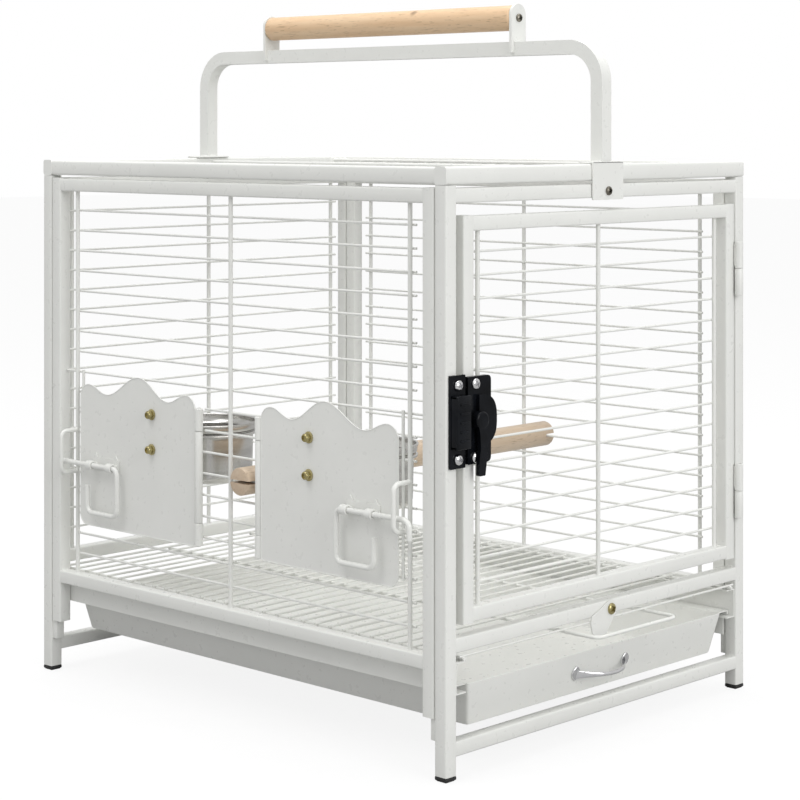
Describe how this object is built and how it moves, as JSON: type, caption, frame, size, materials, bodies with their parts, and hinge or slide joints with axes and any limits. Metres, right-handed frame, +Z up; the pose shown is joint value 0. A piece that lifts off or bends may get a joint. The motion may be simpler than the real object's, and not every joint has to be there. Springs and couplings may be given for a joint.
{
  "type": "parrot cage",
  "caption": "Box cage of square tube and welded wire with a barred front door, feeder doors with lift-out cups, perch, drawer tray, floor grille and carrying arch.",
  "frame": {"origin": "centre of the bounding box at floor level, under the four foot caps", "axes": "+Z up; the barred front door and the tray face -Y; the feeder doors face -X"},
  "size_m": [0.4379, 0.581, 0.648],
  "materials": {
    "white_coat": "white powder coat, semi-gloss",
    "black_cast": "glossy black enamel on a casting",
    "black_plastic": "matt black",
    "chrome_plate": "bright plate",
    "stainless": "spun and polished stainless",
    "brass_plate": "yellow zinc plate",
    "dark_steel": "dark plated steel",
    "beech": "turned, plain light wood"
  },
  "bodies": {
    "cage": {"front_frame": "white_coat", "rear_frame": "white_coat", "side_panel_left": "white_coat", "side_panel_right": "white_coat", "top_panel": "white_coat", "carry_arch": "white_coat", "handle_grip": "beech", "perch": "beech", "latch_keeper": "black_cast", "tab_screw": "brass_plate", "hinge_post_upper": "white_coat", "hinge_post_lower": "white_coat", "grip_bolt_front": "dark_steel", "grip_bolt_rear": "dark_steel", "arch_screw_front": "dark_steel", "arch_screw_rear": "dark_steel", "foot_cap_front_left": "black_plastic", "foot_cap_front_right": "black_plastic", "foot_cap_rear_left": "black_plastic", "foot_cap_rear_right": "black_plastic", "tray_runner_left": "white_coat", "tray_runner_right": "white_coat", "keeper_screw_lower": "chrome_plate", "keeper_screw_upper": "chrome_plate"},
    "main_door": {"main_door": "white_coat", "door_knuckle_upper": "white_coat", "door_knuckle_lower": "white_coat", "latch_base": "black_cast", "latch_screw_lower": "chrome_plate", "latch_screw_upper": "chrome_plate"},
    "latch_lever": {"latch_lever": "black_cast"},
    "swivel_tab": {"swivel_tab": "white_coat"},
    "tray": {"tray": "white_coat", "tray_pull": "chrome_plate"},
    "floor_grille": {"floor_grille": "white_coat"},
    "feeder_door_left": {"feeder_door_left": "white_coat", "cup_holder_left": "stainless", "bolt_bracket_left": "white_coat", "feeder_bolt_left_lower": "brass_plate", "feeder_nut_left_lower": "brass_plate", "feeder_bolt_left_upper": "brass_plate", "feeder_nut_left_upper": "brass_plate"},
    "slide_bolt_left": {"slide_bolt_left": "white_coat"},
    "cup_left": {"cup_left": "stainless"},
    "feeder_door_right": {"feeder_door_right": "white_coat", "cup_holder_right": "stainless", "bolt_bracket_right": "white_coat", "feeder_bolt_right_lower": "brass_plate", "feeder_nut_right_lower": "brass_plate", "feeder_bolt_right_upper": "brass_plate", "feeder_nut_right_upper": "brass_plate"},
    "slide_bolt_right": {"slide_bolt_right": "white_coat"},
    "cup_right": {"cup_right": "stainless"}
  },
  "joints": [
    {"name": "main_door_hinge", "type": "hinge", "parent": "cage", "child": "main_door", "pos_m": [0.2024, -0.25845, 0.29385], "axis": [0, 0, 1], "range_deg": [0, 170]},
    {"name": "latch_turn", "type": "hinge", "parent": "main_door", "child": "latch_lever", "pos_m": [-0.17055, -0.26065, 0.29385], "axis": [0, -1, 0], "range_deg": [0, 180]},
    {"name": "tab_swivel", "type": "hinge", "parent": "cage", "child": "swivel_tab", "pos_m": [0.01095, -0.25505, 0.1085], "axis": [0, 1, 0], "continuous": true},
    {"name": "tray_slide", "type": "slide", "parent": "cage", "child": "tray", "axis": [0, -1, 0], "range_m": [0, 0.35]},
    {"name": "grille_slide", "type": "slide", "parent": "cage", "child": "floor_grille", "axis": [0, -1, 0], "range_m": [0, 0.306]},
    {"name": "feeder_hinge_left", "type": "hinge", "parent": "cage", "child": "feeder_door_left", "pos_m": [-0.19965, 0.05655, 0.2145], "axis": [0, 0, 1], "range_deg": [0, 95]},
    {"name": "feeder_hinge_right", "type": "hinge", "parent": "cage", "child": "feeder_door_right", "pos_m": [-0.19965, -0.02485, 0.2145], "axis": [0, 0, -1], "range_deg": [0, 95]},
    {"name": "slide_bolt_turn_left", "type": "hinge", "parent": "feeder_door_left", "child": "slide_bolt_left", "pos_m": [-0.20905, 0.18935, 0.21047], "axis": [0, 1, 0], "range_deg": [0, 180]},
    {"name": "slide_bolt_turn_right", "type": "hinge", "parent": "feeder_door_right", "child": "slide_bolt_right", "pos_m": [-0.20905, -0.15765, 0.21047], "axis": [0, 1, 0], "range_deg": [0, 180]},
    {"name": "cup_lift_left", "type": "slide", "parent": "feeder_door_left", "child": "cup_left", "axis": [0, 0, 1], "range_m": [0, 0.06]},
    {"name": "cup_lift_right", "type": "slide", "parent": "feeder_door_right", "child": "cup_right", "axis": [0, 0, 1], "range_m": [0, 0.06]}
  ]
}
